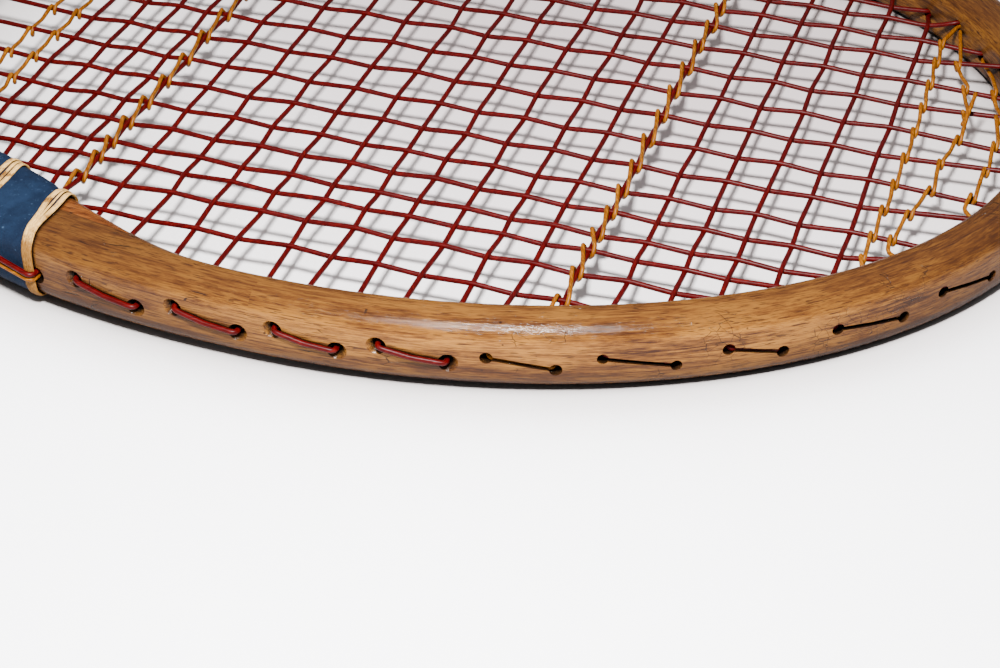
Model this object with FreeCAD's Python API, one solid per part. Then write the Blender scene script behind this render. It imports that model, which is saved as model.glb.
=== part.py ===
"""Vintage wooden tennis racket with a laminated head, a leather grip and woven strings.

Millimetres. The origin is the centre of the butt's end face. +X runs along the racket to the
tip, the string plane is Z = 0, and +Y is the left side seen from the grip.
"""
import FreeCAD, Part
import math
import os

from FreeCAD import Vector

# ---- driving dimensions ---------------------------------------------------------------------
overall_length = 686.0
head_centre_x = 533.5            # where the head is widest
outer_half_width = 114.0
inner_half_width = 102.7
outer_tip_length = overall_length - head_centre_x
inner_tip_length = 140.5
frame_depth = 16.0
edge_round = 4.5

shaft_half_width = 13.0
shaft_start_x = 272.0            # the outline leaves the straight shaft here
leg_end_x = 20.0                 # the bow's legs reach this far down inside the handle
core_half_width = 3.5
bow_thickness_head = 11.9
bow_thickness_shaft = shaft_half_width - core_half_width
bow_taper_end_x = 450.0
horn_end_x = 500.0               # the wedge's horns reach this far up inside the bow

string_diameter = 1.25
gold_diameter = 1.05
hole_radius = 1.2
shared_hole_radius = 1.35
hole_stagger = 1.3               # holes alternate this far above and below the middle plane
grooved_drop = 0.8               # holes with grooves open this much lower outside
throat_stagger = 2.1
pair_spread = 1.4                # the two holes of a pair stand this much further apart
countersink_radius = 2.1
countersink_depth = 1.2
slit_width = 1.0                 # a string groove is a narrow slit in the frame's outside
slit_depth = 0.6
channel_width = 2.75             # over a wider channel that holds the strings
channel_top = 0.5
channel_bottom = 2.05
link_bend_radius = 1.3
surface_gap = 0.95               # a string's middle stands this far off the face it runs on

handle_half_width = 15.0
handle_half_depth = 13.2
handle_chamfer = 6.0
handle_taper_start_x = 206.0
handle_end_x = 236.0
taper_half_width = 13.8
taper_half_depth = 8.9
taper_chamfer = 3.6
pallet_split_height = 3.5
pallet_start_x = 5.0
grip_start_x = 15.0
grip_end_x = 196.0
grip_thickness = 1.6
collar_length = 9.0
collar_thickness = 2.1
butt_half_width = 18.2
butt_half_depth = 16.4
butt_rim_x = 7.0
butt_round = 2.0
butt_tack_radius = 2.2
butt_tack_height = 0.9
tack_shank_radius = 0.6
tack_shank_length = 5.0

binding_thickness = 0.5
whipping_thickness = 0.8
binding_head_x = 482.0
binding_throat_x = 447.0         # a point of the line where the binding ends at the throat
binding_throat_y = 70.0
throat_lean = 0.652
band_inner_y = 58.0
band_outer_y = 130.0
whipping_width = 5.0
middle_whipping_width = 8.5
middle_whipping_offset = 20.0

# Outline of the left shoulder, from the widest place of the head down to the shaft.
outer_shoulder = [(head_centre_x, outer_half_width), (482.0, 109.1), (450.0, 99.5), (420.0, 85.0),
                  (390.0, 65.5), (360.0, 44.0), (330.0, 26.0), (300.0, 15.8),
                  (shaft_start_x, shaft_half_width)]
# Inside of the head, from the widest place down to the middle of the throat.
inner_shoulder = [(head_centre_x, inner_half_width), (512.0, 101.0), (496.0, 95.6), (470.0, 83.6),
                  (446.0, 71.5), (425.5, 54.5), (411.5, 30.5), (407.0, 0.0)]

# Strings, in the order they lie. The mains run along X, the same on both sides of the middle.
main_offsets = [5.8, 17.5, 28.6, 39.5, 48.8, 57.8, 64.7, 73.1, 84.0]
# The crosses run along Y. They are closer together at the throat.
cross_places = [443.2, 452.4, 460.6, 469.0, 474.2, 484.6, 496.2, 507.0, 518.3, 529.5, 539.9,
                549.9, 560.6, 571.3, 581.1, 591.2, 601.9, 612.3, 621.9, 631.8, 642.5]
last_main = len(main_offsets) - 1
last_cross = len(cross_places) - 1
throat_wrapped_cross = 4         # these two crosses have a gold string wound round them
head_wrapped_cross = 15
crosses_with_company = (3, 4, 5, 14, 15)      # their holes take a second string too
first_shared_cross = 18          # from here on the crosses share holes with the outermost mains
shared_hole_x = [623.3, 630.2, 641.0]         # where those holes open inside the head
first_own_tip_main = 5           # the mains from the middle out to here have tip holes of their own
throat_shared_cross = 3          # shares its holes with the throat ends of the outermost mains
first_staggered_cross = 3        # nearer the throat the crosses use only the lower row of holes
binding_last_cross = 4           # up to here the cross string runs outside over the binding
last_countersunk_cross = 13      # beyond it the string lies in grooves
throat_exit_x = [367.0, 376.0, 385.0, 394.0, 403.0, 412.0, 421.0]

# Gold trim strings: the end of the head, the distance along the racket at the middle and at the
# fifth main, and the number of mains on each side that they hitch.
trims = [("tip", 648.5, 647.3, 5), ("tip", 658.6, 650.5, 4), ("tip", 667.2, 658.0, 2),
         ("throat", 438.7, 438.9, 6), ("throat", 431.7, 432.4, 5)]
parted_trim = 2                  # this one is in two lengths, one with a tail
throat_trim_mains = (5, 6)       # their throat holes take a trim string too

# How the strings lie
weave_height = 1.17              # corner height of a path; the rounded path comes to about half
run_share = 0.45                 # an arc takes up to this share of the shorter run beside it
largest_radius = 60.0
mouth_radius = 4.0
smallest_turn = 0.003
edge_clearance = 2.5
share_offset = 0.66              # two strings in one hole lie this far above and below its middle
end_depth = 1.0                  # a string ends this far inside its hole
groove_gap = -1.25               # a string's middle in a groove, from the face
hitch_radius = 0.9
wrap_reach_x = 1.8
wrap_reach_y = 2.0
wrap_reach_z = 2.7
wrap_exit_reach = 3.2            # a gold string passes under its cross this far before the hole
trim_reach_x = 0.9
trim_reach_y = 1.8
trim_reach_z = 1.75

tail_shift = 1.5                 # the cut tail of the parted trim string ends this far along,
tail_reach = 12.0                # this far to the left of the middle main
tail_rise = 6.0                  # and this far above the string plane

# How shapes are found and joined
middle = Vector(0, 0, 0)
up = Vector(0, 0, 1)
along = Vector(1, 0, 0)
shoulder_side = Vector(-0.3, 1, 0)            # every outward normal of the left side leans here
halvings = 60                    # steps of a search by halves
search_length = 80.0
hole_overrun = 6.0
seam_overlap = 0.1
touching = 0.01
tack_round_share = 0.8           # of a tack's height
cutter_end_x = 300.0             # boxes that divide the handle reach past it
cutter_half_size = 60.0


# ---- outlines -------------------------------------------------------------------------------
def spline(points, first_tangent, last_tangent):
    """Smooth curve through the points, with its end directions given."""
    curve = Part.BSplineCurve()
    curve.interpolate(Points=[Vector(x, y, 0) for x, y in points],
                      InitialTangent=first_tangent, FinalTangent=last_tangent)
    return curve


def across(direction, towards):
    """Unit vector at right angles to a direction in the string plane, on the towards side."""
    normal = Vector(-direction.y, direction.x, 0)
    normal.normalize()
    return normal if normal.dot(towards) > 0 else -normal


outer_curve = spline(outer_shoulder, Vector(-1, 0, 0), Vector(-1, 0, 0))
inner_curve = spline(inner_shoulder, Vector(-1, 0, 0), Vector(0, -1, 0))


def moved_out(points, curve, distances):
    """The points, each moved along the curve's outward normal by its own distance."""
    result = []
    for (x, y), distance in zip(points, distances):
        direction = curve.tangent(curve.parameter(Vector(x, y, 0)))[0]
        normal = across(direction, shoulder_side)
        result.append((x + normal.x * distance, y + normal.y * distance))
    return result


def mirrored(edge):
    """The edge on the other side of the racket."""
    return edge.mirror(middle, Vector(0, 1, 0))


def outer_wire(grow):
    """Outline of the whole racket frame, from one leg end round the tip to the other."""
    points = moved_out(outer_shoulder, outer_curve, [grow] * len(outer_shoulder))
    curve = spline(points, Vector(-1, 0, 0), Vector(-1, 0, 0))
    ellipse = Part.Ellipse(Vector(head_centre_x, 0, 0), outer_tip_length + grow,
                           outer_half_width + grow)
    tip = Part.ArcOfEllipse(ellipse, -math.pi / 2, math.pi / 2).toShape()
    half_width = shaft_half_width + grow
    shoulder = curve.toShape()
    leg = Part.makeLine(Vector(shaft_start_x, half_width, 0), Vector(leg_end_x, half_width, 0))
    end = Part.makeLine(Vector(leg_end_x, half_width, 0), Vector(leg_end_x, -half_width, 0))
    return Part.Wire(Part.__sortEdges__([tip, shoulder, leg, end, mirrored(leg), mirrored(shoulder)]))


def inner_wire(grow):
    """Outline of the opening of the head."""
    points = moved_out(inner_shoulder, inner_curve, [-grow] * len(inner_shoulder))
    curve = spline(points, Vector(-1, 0, 0), Vector(0, -1, 0))
    ellipse = Part.Ellipse(Vector(head_centre_x, 0, 0), inner_tip_length - grow,
                           inner_half_width - grow)
    tip = Part.ArcOfEllipse(ellipse, -math.pi / 2, math.pi / 2).toShape()
    shoulder = curve.toShape()
    return Part.Wire(Part.__sortEdges__([tip, shoulder, mirrored(shoulder)]))


def frame_solid(grow):
    """The frame's outside shape with rounded edges, thicker all round by grow."""
    half_depth = frame_depth / 2 + grow
    depth = Vector(0, 0, 2 * half_depth)
    outside = Part.Face(outer_wire(grow))
    opening = Part.Face(inner_wire(grow))
    solid = outside.extrude(depth).cut(opening.extrude(depth))
    solid.translate(Vector(0, 0, -half_depth))
    long_edges = [edge for edge in solid.Edges
                  if edge.BoundBox.ZLength < 0.01 and edge.BoundBox.XLength > 1.0]
    return solid.makeFillet(edge_round + grow, long_edges)


def slab(outline, half_depth):
    """Flat solid of a closed outline, given as points, about the string plane."""
    corners = [Vector(x, y, -half_depth) for x, y in outline]
    face = Part.Face(Part.makePolygon(corners + corners[:1]))
    return face.extrude(Vector(0, 0, 2 * half_depth))


# ---- wooden frame ---------------------------------------------------------------------------
def bow_thickness(x):
    """Thickness of the bent bow: full in the head, thinner where its legs form the shaft."""
    share = (x - shaft_start_x) / (bow_taper_end_x - shaft_start_x)
    share = min(1.0, max(0.0, share))
    return bow_thickness_shaft + (bow_thickness_head - bow_thickness_shaft) * share


def wedge_region():
    """Everything between the two glue lines, from the shaft's core up to the open head."""
    points = moved_out(outer_shoulder, outer_curve, [-bow_thickness(x) for x, y in outer_shoulder])
    glue_line = spline(points, Vector(-1, 0, 0), Vector(-1, 0, 0)).toShape()
    head_x, head_y = points[0]
    shaft_x, shaft_y = points[-1]
    head_line = Part.makeLine(Vector(head_x, head_y, 0), Vector(head_x, -head_y, 0))
    shaft_line = Part.makeLine(Vector(shaft_x, shaft_y, 0), Vector(shaft_x, -shaft_y, 0))
    wire = Part.Wire(Part.__sortEdges__([glue_line, head_line, mirrored(glue_line), shaft_line]))
    region = Part.Face(wire).extrude(Vector(0, 0, 2 * frame_depth))
    region.translate(Vector(0, 0, -frame_depth))
    beyond_horns = slab([(horn_end_x, -overall_length), (overall_length, -overall_length),
                         (overall_length, overall_length), (horn_end_x, overall_length)],
                        2 * frame_depth)
    return region.cut(beyond_horns)


def core_region():
    """The strip between the two legs of the bow."""
    outline = [(leg_end_x - 1, -core_half_width), (shaft_start_x, -core_half_width),
               (shaft_start_x, core_half_width), (leg_end_x - 1, core_half_width)]
    return slab(outline, frame_depth)


# ---- holes and strings ----------------------------------------------------------------------
def param_at_x(curve, x, start, end):
    """Parameter of the curve where it passes x; the curve runs towards the throat."""
    for _ in range(halvings):
        half = (start + end) / 2
        if curve.value(half).x > x:
            start = half
        else:
            end = half
    return start


def curve_point(curve, x):
    return curve.value(param_at_x(curve, x, curve.FirstParameter, curve.LastParameter))


def ellipse_y(x, length, half_width):
    return half_width * math.sqrt(max(0.0, 1 - ((x - head_centre_x) / length) ** 2))


def outer_y(x):
    """Half width of the frame at x."""
    if x >= overall_length:
        return 0.0
    if x > head_centre_x:
        return ellipse_y(x, outer_tip_length, outer_half_width)
    return curve_point(outer_curve, x).y


def inner_y(x):
    """Half width of the opening of the head at x."""
    if x > head_centre_x:
        return ellipse_y(x, inner_tip_length, inner_half_width)
    return curve_point(inner_curve, x).y


def inner_tip_x(y):
    return head_centre_x + inner_tip_length * math.sqrt(1 - (y / inner_half_width) ** 2)


def inner_throat_x(y):
    """Where the opening of the head begins at the distance y from the middle."""
    low = inner_shoulder[-1][0]
    high = head_centre_x
    for _ in range(halvings):
        half = (low + high) / 2
        if inner_y(half) < y:
            low = half
        else:
            high = half
    return low


def frame_normal(point):
    """Direction square to the frame's outside at a point on its left side."""
    if point.x > head_centre_x:
        normal = Vector((point.x - head_centre_x) / outer_tip_length ** 2,
                        point.y / outer_half_width ** 2, 0)
        normal.normalize()
        return normal
    direction = outer_curve.tangent(outer_curve.parameter(point))[0]
    return across(direction, shoulder_side)


def reach_outside(point, direction):
    """Where the ray from a point inside the frame comes out of it."""
    near = 0.0
    far = search_length
    for _ in range(halvings):
        half = (near + far) / 2
        place = point + direction * half
        if place.y < outer_y(place.x):
            near = half
        else:
            far = half
    return point + direction * near


class Hole:
    """A string hole: its two mouths, its direction and its radius. Side +1 is left, -1 right."""

    def __init__(self, inside, outside, height, side, radius):
        self.inside = Vector(inside.x, inside.y * side, height)
        self.outside = Vector(outside.x, outside.y * side, height)
        self.radius = radius
        self.direction = self.outside - self.inside
        self.direction.normalize()

    def lower_outside(self, drop):
        """Slants the hole down towards its outer mouth."""
        self.outside = self.outside - up * drop
        self.direction = self.outside - self.inside
        self.direction.normalize()

    def tool(self):
        length = (self.outside - self.inside).Length + 2 * hole_overrun
        base = self.inside - self.direction * hole_overrun
        return Part.makeCylinder(self.radius, length, base, self.direction)

    def countersink(self):
        base = self.outside - self.direction * countersink_depth
        reach = 2 * countersink_depth
        growth = countersink_radius - self.radius
        return Part.makeCone(self.radius, self.radius + 2 * growth, reach, base, self.direction)


def square_hole(x, height, side, radius, spread):
    """Hole square to the frame's outside; spread moves its outer mouth towards the tip."""
    inside = Vector(x, inner_y(x), 0)
    direction = frame_normal(inside)
    towards_tip = Vector(direction.y, -direction.x, 0)
    aim = reach_outside(inside, direction) + towards_tip * spread - inside
    aim.normalize()
    return Hole(inside, reach_outside(inside, aim), height, side, radius)


def row(order, side):
    """+1 for the upper and -1 for the lower row; they take turns all round the head."""
    return side * (1 if order % 2 else -1)


def cross_hole(number, side):
    """Hole of one end of a cross string."""
    x = cross_places[number]
    height = hole_stagger * row(number, side)
    if number < first_staggered_cross:
        height = -throat_stagger
    if number >= first_shared_cross:
        x = shared_hole_x[number - first_shared_cross]
    shares = number >= first_shared_cross or number in crosses_with_company
    radius = shared_hole_radius if shares else hole_radius
    hole = square_hole(x, height, side, radius, -pair_spread * row(number, side))
    if number > last_countersunk_cross:
        hole.lower_outside(grooved_drop)
    return hole


def tip_hole(main, side):
    """Hole of the tip end of a main string."""
    turn = row(last_cross + first_own_tip_main - main + 1, side)
    radius = shared_hole_radius if main > 1 else hole_radius
    return square_hole(inner_tip_x(main_offsets[main]), hole_stagger * turn, side, radius,
                       -pair_spread * turn)


def throat_hole(main, side):
    """Hole of the throat end of a main string; the middle ones slant out through the wedge."""
    y = main_offsets[main]
    if main >= len(throat_exit_x):
        return square_hole(inner_throat_x(y), throat_stagger, side, hole_radius, 0.0)
    exit_x = throat_exit_x[main]
    radius = shared_hole_radius if main in throat_trim_mains else hole_radius
    return Hole(Vector(inner_throat_x(y), y, 0), Vector(exit_x, outer_y(exit_x), 0),
                throat_stagger, side, radius)


def make_holes():
    """Every string hole, in a dictionary under its kind, number and side."""
    holes = {}
    for side in (1, -1):
        for number in range(len(cross_places)):
            holes["cross", number, side] = cross_hole(number, side)
        for main in range(len(main_offsets)):
            if main > first_own_tip_main:
                number = first_shared_cross + last_main - main
                holes["tip", main, side] = holes["cross", number, side]
            else:
                holes["tip", main, side] = tip_hole(main, side)
            if main == last_main:
                holes["throat", main, side] = holes["cross", throat_shared_cross, side]
            else:
                holes["throat", main, side] = throat_hole(main, side)
    return holes


def bar(start, run, outward, low, high, width):
    """Straight bar from start along run, between two distances from the face."""
    sideways = run.cross(outward)
    sideways.normalize()
    half = sideways * (width / 2)
    bottom = start + outward * low
    top = start + outward * high
    corners = [bottom - half, bottom + half, top + half, top - half, bottom - half]
    return Part.Face(Part.makePolygon(corners)).extrude(run)


def groove_tool(first, second):
    """Groove cut in the frame's outside from one hole to the next."""
    run = second.outside - first.outside
    outward = (first.direction + second.direction).cross(run).cross(run) * -1
    outward.normalize()
    slit = bar(first.outside, run, outward, -slit_depth, 2 * surface_gap, slit_width)
    channel = bar(first.outside, run, outward, -channel_bottom, -channel_top, channel_width)
    return slit.fuse(channel)


def hole_tools(holes):
    """All the holes, countersinks and grooves as one shape to cut away."""
    tools = []
    drilled = set()
    for (kind, number, side), hole in holes.items():
        if id(hole) in drilled:
            continue
        drilled.add(id(hole))
        tools.append(hole.tool())
        if kind == "cross" and binding_last_cross < number <= last_countersunk_cross:
            tools.append(hole.countersink())
    for first, second in grooved_pairs():
        tools.append(groove_tool(holes[first], holes[second]))
    return Part.makeCompound(tools)


def grooved_pairs():
    """Neighbouring holes joined by a groove: those that a string joins on the outside."""
    pairs = []
    for side in (1, -1):
        for number in range(last_countersunk_cross + 1, last_cross):
            if links_outside(number, side):
                pairs.append((("cross", number, side), ("cross", number + 1, side)))
        for main in range(0, last_main):
            end = "tip" if main % 2 else "throat"
            pairs.append(((end, main, side), (end, main + 1, side)))
    pairs.append((("tip", 0, 1), ("tip", 0, -1)))
    return pairs


def links_outside(number, side):
    """True if the cross string runs outside from this cross to the next one on this side."""
    return number % 2 == (1 if side > 0 else 0)


def rounded_path(corners):
    """Straight runs joined by tangent arcs, each as large as its runs and its limit allow."""
    edges = []
    start = corners[0][0]
    for (before, _), (corner, limit), (after, _) in zip(corners, corners[1:], corners[2:]):
        incoming = corner - before
        outgoing = after - corner
        shorter = min(incoming.Length, outgoing.Length)
        incoming.normalize()
        outgoing.normalize()
        turn = math.acos(max(-1.0, min(1.0, incoming.dot(outgoing))))
        if turn < smallest_turn:
            continue
        radius = min(limit, run_share * shorter / math.tan(turn / 2))
        reach = radius * math.tan(turn / 2)
        inward = outgoing - incoming
        inward.normalize()
        first = corner - incoming * reach
        last = corner + outgoing * reach
        top = corner + inward * (radius / math.cos(turn / 2) - radius)
        edges.append(Part.makeLine(start, first))
        edges.append(Part.Arc(first, top, last).toShape())
        start = last
    edges.append(Part.makeLine(start, corners[-1][0]))
    return Part.Wire(edges)


def string_solid(name, corners, diameter):
    """A string swept along its rounded path; its volume is checked against its length."""
    path = rounded_path(corners)
    start = corners[0][0]
    section = Part.Face(Part.Wire(Part.makeCircle(diameter / 2, start, corners[1][0] - start)))
    solid = path.makePipe(section)
    expected = math.pi * diameter ** 2 / 4 * path.Length
    print(name, round(path.Length), "mm long, volume ratio", round(solid.Volume / expected, 4))
    return solid


def in_hole(point, hole, place):
    """The point raised or lowered to its place in a hole that takes two strings."""
    offset = share_offset * place if hole.radius > hole_radius else 0.0
    return point + up * offset


def weave_sign(number, main, side):
    """+1 where the main passes over the cross."""
    order = last_main - main if side > 0 else last_main + 1 + main
    return 1 if (number + order) % 2 == 0 else -1


def near_edge(number, main):
    """True where a cross meets a main right beside the cross's own hole."""
    return inner_y(cross_places[number]) - main_offsets[main] < edge_clearance


def crossed(number, main):
    """True if this cross and this main meet inside the head."""
    x = cross_places[number]
    y = main_offsets[main]
    return inner_y(x) > y and inner_throat_x(y) + 1 < x < inner_tip_x(y) - edge_clearance


def main_corners(holes, main, side):
    """One main from its throat hole to its tip hole, over and under the crosses."""
    throat = holes["throat", main, side]
    tip = holes["tip", main, side]
    corners = [(in_hole(throat.inside, throat, 1), mouth_radius)]
    for number, x in enumerate(cross_places):
        if not crossed(number, main):
            continue
        sign = weave_sign(number, main, side)
        if near_edge(number, main):
            sign = -1 if holes["cross", number, side].inside.z > 0 else 1
        place = Vector(x, main_offsets[main] * side, sign * weave_height)
        corners.append((place, largest_radius))
    corners.append((in_hole(tip.inside, tip, 1), mouth_radius))
    return corners


def link_corner(hole, place, gap):
    """Where a string turns to run along the frame's outside."""
    return in_hole(hole.outside + hole.direction * gap, hole, place), link_bend_radius


def end_corner(hole, place):
    """Where a string ends inside its hole."""
    return in_hole(hole.outside - hole.direction * end_depth, hole, place), mouth_radius


def cross_gap(number):
    """Gap between the frame and the middle of the cross string's run to the next cross."""
    if number < binding_last_cross:
        return surface_gap + binding_thickness
    if number == binding_last_cross:
        return surface_gap + binding_thickness + whipping_thickness
    if number <= last_countersunk_cross:
        return surface_gap
    return groove_gap


def main_string(holes):
    """All the mains as one string, from the left outermost to the right outermost."""
    order = [(main, 1) for main in range(last_main, -1, -1)]
    order += [(main, -1) for main in range(last_main + 1)]
    corners = [end_corner(holes["throat", last_main, 1], 1)]
    for (main, side), following in zip(order, order[1:] + [None]):
        to_tip = (main % 2 == 0) == (side > 0)
        end = "tip" if to_tip else "throat"
        leg = main_corners(holes, main, side)
        corners += leg if to_tip else leg[::-1]
        if following is None:
            corners.append(end_corner(holes[end, main, side], 1))
            break
        corners.append(link_corner(holes[end, main, side], 1, groove_gap))
        corners.append(link_corner(holes[(end,) + following], 1, groove_gap))
    return corners


def cross_place(number):
    """Half of a shared hole that a cross takes: under a main, over a gold string."""
    return -1 if number >= first_shared_cross or number == throat_shared_cross else 1


def cross_corners(holes, number):
    """One cross from its right hole to its left hole."""
    place = cross_place(number)
    right = holes["cross", number, -1]
    left = holes["cross", number, 1]
    corners = [(in_hole(right.inside, right, place), mouth_radius)]
    for side, mains in ((-1, range(last_main, -1, -1)), (1, range(last_main + 1))):
        for main in mains:
            if crossed(number, main) and not near_edge(number, main):
                sign = -weave_sign(number, main, side)
                point = Vector(cross_places[number], main_offsets[main] * side, sign * weave_height)
                corners.append((point, largest_radius))
    corners.append((in_hole(left.inside, left, place), mouth_radius))
    return corners


def cross_string(holes):
    """All the crosses as one string, from the throat to the tip."""
    corners = [end_corner(holes["cross", 0, 1], 1)]
    for number in range(len(cross_places)):
        leg = cross_corners(holes, number)
        to_right = number % 2 == 0
        corners += leg[::-1] if to_right else leg
        side = -1 if to_right else 1
        end = holes["cross", number, side]
        if number == last_cross:
            corners.append(end_corner(end, cross_place(number)))
            break
        gap = cross_gap(number)
        start = holes["cross", number + 1, side]
        corners.append(link_corner(end, cross_place(number), gap))
        corners.append(link_corner(start, cross_place(number + 1), gap))
    return corners


def hitch(x, y, height, reach_x, reach_y, reach_z):
    """A full turn of a gold string round a main, going from the left side to the right."""
    offsets = [(-reach_x, 0, reach_z), (-reach_x, reach_y, 0), (0, 0, -reach_z),
               (reach_x, -reach_y, 0), (reach_x, 0, reach_z)]
    return [(Vector(x + dx, y + dy, height + dz), hitch_radius) for dx, dy, dz in offsets][::-1]


def beside_hole(hole, sideways):
    """Where a gold string coming off its last turn starts to pass under its cross."""
    return in_hole(hole.inside - hole.direction * wrap_exit_reach, hole, -1) + along * sideways


def signed_mains(count):
    """Distances of the first mains on both sides, from left to right."""
    inner = main_offsets[:count]
    return inner[::-1] + [-y for y in inner]


def wrap_string(holes, number, gap):
    """Gold string wound along a cross, one turn at every main; it comes from the next hole."""
    left = holes["cross", number, 1]
    right = holes["cross", number, -1]
    start_number = number + 1 if number == throat_wrapped_cross else number - 1
    start = holes["cross", start_number, -1]
    x = cross_places[number]
    count = len([main for main in range(len(main_offsets)) if crossed(number, main)
                 and not near_edge(number, main)])
    corners = [end_corner(left, -1), (in_hole(left.inside, left, -1), mouth_radius),
               (beside_hole(left, wrap_reach_x), mouth_radius)]
    for y in signed_mains(count):
        corners += hitch(x, y, 0.0, wrap_reach_x, wrap_reach_y, wrap_reach_z)
    corners.append((beside_hole(right, -wrap_reach_x), mouth_radius))
    corners.append((in_hole(right.inside, right, -1), mouth_radius))
    corners.append(link_corner(right, -1, gap))
    corners.append(link_corner(start, -1, gap))
    corners.append((in_hole(start.outside - start.direction * end_depth * 2, start, -1),
                    mouth_radius))
    return corners


def height_on_main(holes, main, side, x):
    """Height of a main's middle at x."""
    corners = [corner for corner, limit in main_corners(holes, main, side)]
    for before, after in zip(corners, corners[1:]):
        if before.x <= x <= after.x:
            share = (x - before.x) / (after.x - before.x)
            return before.z + share * (after.z - before.z)
    return 0.0


def trim_hitches(holes, middle_x, edge_x, ys):
    """Hitches of a gold trim string on the mains at the given distances, left to right."""
    corners = []
    for y in ys:
        side = 1 if y > 0 else -1
        x = middle_x + (edge_x - middle_x) * (y / main_offsets[4]) ** 2
        height = height_on_main(holes, main_offsets.index(abs(y)), side, x)
        corners += hitch(x, y, height, trim_reach_x, trim_reach_y, trim_reach_z)
    return corners


def trim_end(hole):
    """A trim string's last stretch, from the head into its hole."""
    return [(in_hole(hole.inside, hole, -1), mouth_radius), end_corner(hole, -1)]


def trim_string(holes, end, middle_x, edge_x, count):
    """A gold trim string hitched across the mains, with both ends in holes of the next main."""
    corners = trim_end(holes[end, count, 1])[::-1]
    corners += trim_hitches(holes, middle_x, edge_x, signed_mains(count))
    return corners + trim_end(holes[end, count, -1])


def parted_trim_string(holes, middle_x, edge_x, count):
    """A trim string in two lengths; the right one ends in a cut tail that stands up."""
    ys = signed_mains(count)
    left_ys = [y for y in ys if y > main_offsets[0]]
    right_ys = [y for y in ys if y <= main_offsets[0]]
    left = trim_end(holes["tip", count, 1])[::-1]
    left += trim_hitches(holes, middle_x, edge_x, left_ys)
    tail = Vector(middle_x + tail_shift, main_offsets[0] + tail_reach, tail_rise)
    right = [(tail, hitch_radius)]
    right += trim_hitches(holes, middle_x, edge_x, right_ys)
    right += trim_end(holes["tip", count, -1])
    return left, right


# ---- bindings on the shoulders --------------------------------------------------------------
def sleeve(inner_solid, outer_solid, outline, side):
    """A layer on the frame's outside within an outline given for the left side."""
    points = [(x, y * side) for x, y in outline]
    band = slab(points, frame_depth)
    return outer_solid.common(band).cut(inner_solid)


def straight_band(head_x, width):
    """Outline of a band across the shoulder, square to the racket's length."""
    return [(head_x, band_inner_y), (head_x, band_outer_y),
            (head_x - width, band_outer_y), (head_x - width, band_inner_y)]


def throat_line(offset):
    """Two ends of the slanting line where the binding stops towards the throat."""
    inner = binding_throat_x + throat_lean * (binding_throat_y - band_inner_y) + offset
    outer = binding_throat_x + throat_lean * (binding_throat_y - band_outer_y) + offset
    return (inner, band_inner_y), (outer, band_outer_y)


# ---- handle ---------------------------------------------------------------------------------
def octagon(x, grow):
    """Eight-sided section of the handle at x, thicker all round by grow."""
    return octagon_wire(x, handle_half_width + grow, handle_half_depth + grow,
                        handle_chamfer + grow * (2 - math.sqrt(2)))


def octagon_wire(x, half_width, half_depth, chamfer):
    corners = []
    for y_sign, z_sign in ((1, 1), (-1, 1), (-1, -1), (1, -1)):
        flat = Vector(x, y_sign * (half_width - chamfer), z_sign * half_depth)
        upright = Vector(x, y_sign * half_width, z_sign * (half_depth - chamfer))
        corners += [upright, flat] if y_sign == z_sign else [flat, upright]
    return Part.makePolygon(corners + corners[:1])


def octagon_prism(start_x, end_x, grow):
    return Part.Face(octagon(start_x, grow)).extrude(along * (end_x - start_x))


def handle_block():
    """The whole handle under the leather, with its taper onto the shaft."""
    narrow = octagon_wire(handle_end_x, taper_half_width, taper_half_depth, taper_chamfer)
    taper = Part.makeLoft([octagon(handle_taper_start_x, 0), narrow], True, True)
    return octagon_prism(pallet_start_x, handle_taper_start_x, 0).fuse(taper)


def box_between(low, high):
    return Part.makeBox(high[0] - low[0], high[1] - low[1], high[2] - low[2], Vector(*low))


def butt_cap():
    """Flared cap over the butt, with its rounded rim."""
    section = octagon_wire(0, butt_half_width, butt_half_depth, handle_chamfer)
    rim = Part.Face(section).extrude(along * butt_rim_x)
    rim_edges = [edge for edge in rim.Edges if edge.BoundBox.XMax < touching]
    rim = rim.makeFillet(butt_round, rim_edges)
    start = octagon_wire(butt_rim_x, butt_half_width, butt_half_depth, handle_chamfer)
    flare = Part.makeLoft([start, octagon(grip_start_x, grip_thickness + seam_overlap)], True, True)
    return rim.fuse(flare).cut(octagon_prism(pallet_start_x, grip_start_x, 0))


def tack(place, direction, radius, height):
    """Dome-headed tack with its shank."""
    head = Part.makeCylinder(radius, height, place, direction)
    top_edges = [edge for edge in head.Edges
                 if (edge.CenterOfMass - (place + direction * height)).Length < touching]
    head = head.makeFillet(height * tack_round_share, top_edges)
    shank = Part.makeCylinder(tack_shank_radius, tack_shank_length + seam_overlap,
                              place - direction * tack_shank_length, direction)
    return head.fuse(shank).removeSplitter()


def butt_tacks():
    """One tack in each of the four slanting sides of the cap."""
    tacks = []
    for y_sign in (1, -1):
        for z_sign in (1, -1):
            direction = Vector(0, y_sign, z_sign)
            direction.normalize()
            place = Vector(butt_rim_x / 2, y_sign * (butt_half_width - handle_chamfer / 2),
                           z_sign * (butt_half_depth - handle_chamfer / 2))
            tacks.append(tack(place, direction, butt_tack_radius, butt_tack_height))
    return tacks


# ---- the whole racket -----------------------------------------------------------------------
def save(name, shape):
    shape.exportStep("parts/" + name + ".step")
    print(name, len(shape.Solids), "solids,", round(shape.Volume), "mm3, valid", shape.isValid())


def make_frame(tools):
    whole = frame_solid(0.0)
    wedge_space = wedge_region()
    core_space = core_region()
    drilled = whole.cut(tools)
    save("bow", drilled.cut(wedge_space).cut(core_space))
    save("throat_wedge", drilled.common(wedge_space))
    save("shaft_core", drilled.common(core_space))
    return whole


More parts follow.
